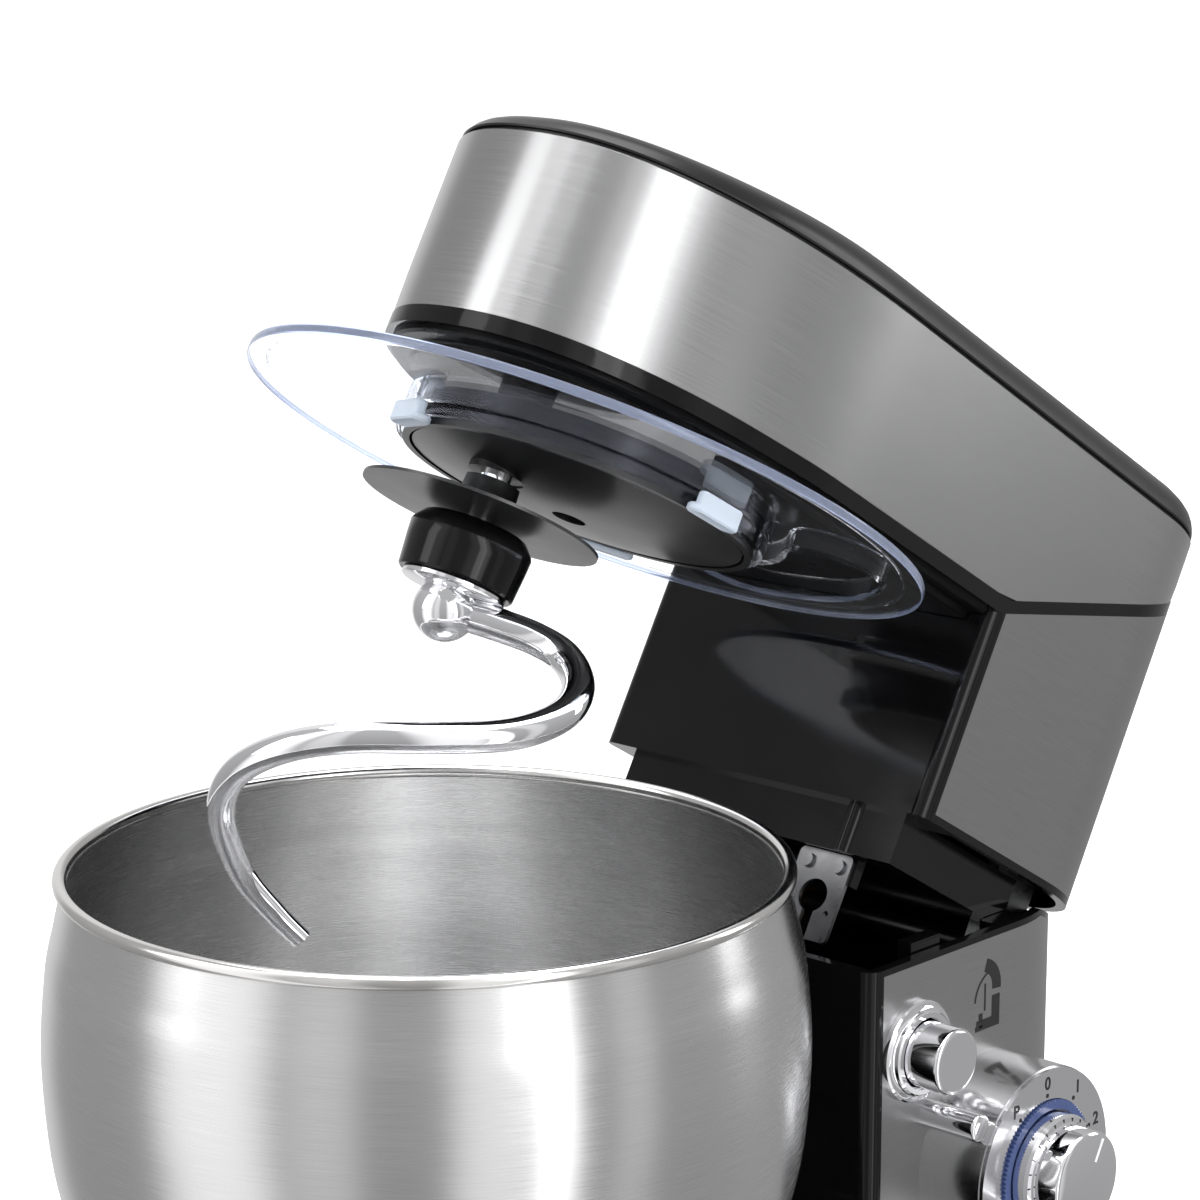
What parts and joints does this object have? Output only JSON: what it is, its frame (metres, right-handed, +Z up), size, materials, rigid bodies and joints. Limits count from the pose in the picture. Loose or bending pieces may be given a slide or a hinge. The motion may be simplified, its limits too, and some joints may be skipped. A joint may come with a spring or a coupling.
{
  "type": "stand mixer",
  "caption": "Tilt-head planetary stand mixer with a spiral dough hook, steel bowl, splash guard, speed dial and release button, head raised.",
  "frame": {"origin": "on the table under the middle of the whole object's box, head raised", "axes": "+Z up, -X toward the nose and bowl, -Y toward the side with the dial and the release button"},
  "size_m": [0.4509, 0.2342, 0.4475],
  "materials": {
    "black_gloss": "gloss moulded",
    "black_satin": "satin moulded",
    "brushed_steel": "fine brushed",
    "bowl_steel": "circumferential brush, polished rim",
    "chrome": "polished",
    "dial_chrome": "satin chrome with printed marks",
    "light_ring": "translucent, ribbed",
    "rubber_black": "matt",
    "screw_steel": "zinc plated",
    "pressed_steel": "zinc plated sheet",
    "cast_aluminium": "satin cast",
    "bearing_bronze": "sintered",
    "belt_rubber": "matt",
    "gear_plastic": "moulded nylon",
    "motor_copper": "varnished windings and laminations",
    "motor_carbon": "pressed carbon",
    "clear_plastic": "clear moulded",
    "frosted_plastic": "frosted moulded",
    "circuit_board": "solder mask"
  },
  "bodies": {
    "base": {"base_housing": "black_gloss", "base_plate": "black_satin", "suction_feet": "rubber_black", "base_screws": "screw_steel", "column_steel_wrap": "brushed_steel", "bowl_seat_ring": "black_satin", "hinge_frame": "black_satin", "hinge_pin": "pressed_steel", "button_flange": "chrome", "button_spring": "screw_steel", "latch_bracket": "black_satin", "dial_boss": "brushed_steel", "dial_plate": "dial_chrome", "dial_light_ring": "light_ring", "dial_post": "chrome", "speed_switch": "black_satin", "control_board": "circuit_board", "cord_gland": "rubber_black"},
    "button": {"release_button": "chrome"},
    "latch": {"latch_pin": "screw_steel"},
    "dial": {"speed_dial": "chrome"},
    "bowl": {"bowl": "bowl_steel", "bowl_foot_ring": "bowl_steel"},
    "head": {"head_steel_band": "brushed_steel", "leg_steel_wrap": "brushed_steel", "head_shell": "black_gloss", "leg_front_panel": "black_gloss", "top_cap": "black_satin", "leg_skirt": "black_gloss", "lock_plate": "pressed_steel", "head_screws": "screw_steel", "arm_frame": "cast_aluminium", "hinge_bushes": "bearing_bronze", "planet_housing": "pressed_steel", "planet_trim_ring": "black_satin", "ring_gear": "pressed_steel", "gear_bearings": "bearing_bronze", "gear_bridge": "cast_aluminium", "drive_belt": "belt_rubber", "motor_can": "pressed_steel", "motor_stator": "motor_copper", "motor_bearings": "bearing_bronze", "motor_brushes": "motor_carbon", "splash_guard": "clear_plastic", "guard_clips": "frosted_plastic"},
    "planet": {"planet_disc": "black_satin", "planet_shaft": "pressed_steel", "main_gear": "gear_plastic", "hook_shaft_bush": "black_satin"},
    "hook": {"hook_pinion": "pressed_steel", "hook_shaft": "chrome", "hook_guard_disc": "black_satin", "hook_collar": "black_satin", "dough_hook": "chrome"},
    "countershaft": {"counter_shaft": "pressed_steel", "counter_pulley": "gear_plastic"},
    "motor": {"motor_rotor": "motor_copper", "motor_fan": "gear_plastic", "motor_pulley": "cast_aluminium"}
  },
  "joints": [
    {"name": "head_tilt", "type": "hinge", "parent": "base", "child": "head", "pos_m": [0.1189, 0, 0.1509], "axis": [0, 1, 0], "range_deg": [-30.4, 0]},
    {"name": "planet_spin", "type": "hinge", "parent": "head", "child": "planet", "pos_m": [-0.04117, 0, 0.32725], "axis": [0.506, 0, 0.8625], "continuous": true},
    {"name": "hook_spin", "type": "hinge", "parent": "planet", "child": "hook", "pos_m": [-0.06622, 0.00751, 0.34194], "axis": [0.506, 0, 0.8625], "continuous": true},
    {"name": "countershaft_spin", "type": "hinge", "parent": "head", "child": "countershaft", "pos_m": [0.01681, 0, 0.33961], "axis": [0.506, 0, 0.8625], "continuous": true},
    {"name": "motor_spin", "type": "hinge", "parent": "head", "child": "motor", "pos_m": [0.11236, 0, 0.23717], "axis": [0.506, 0, 0.8625], "continuous": true},
    {"name": "dial_turn", "type": "hinge", "parent": "base", "child": "dial", "pos_m": [0.0816, -0.0936, 0.096], "axis": [0, 1, 0], "range_deg": [-35, 210]},
    {"name": "button_press", "type": "slide", "parent": "base", "child": "button", "axis": [0, 1, 0], "range_m": [0, 0.005], "stiffness_N_per_m": 600, "springref_m": -0.002, "deforming": ["button_spring"]},
    {"name": "latch_slide", "type": "slide", "parent": "base", "child": "latch", "axis": [-1, 0, 0], "range_m": [0, 0.005]},
    {"name": "bowl_twist", "type": "hinge", "parent": "base", "child": "bowl", "pos_m": [-0.1084, 0, 0.05], "axis": [0, 0, 1], "range_deg": [0, 30]}
  ],
  "couplings": [
    {"joint": "hook_spin", "follows": "planet_spin", "ratio": -3},
    {"joint": "countershaft_spin", "follows": "planet_spin", "ratio": -4},
    {"joint": "motor_spin", "follows": "planet_spin", "ratio": -12}
  ]
}
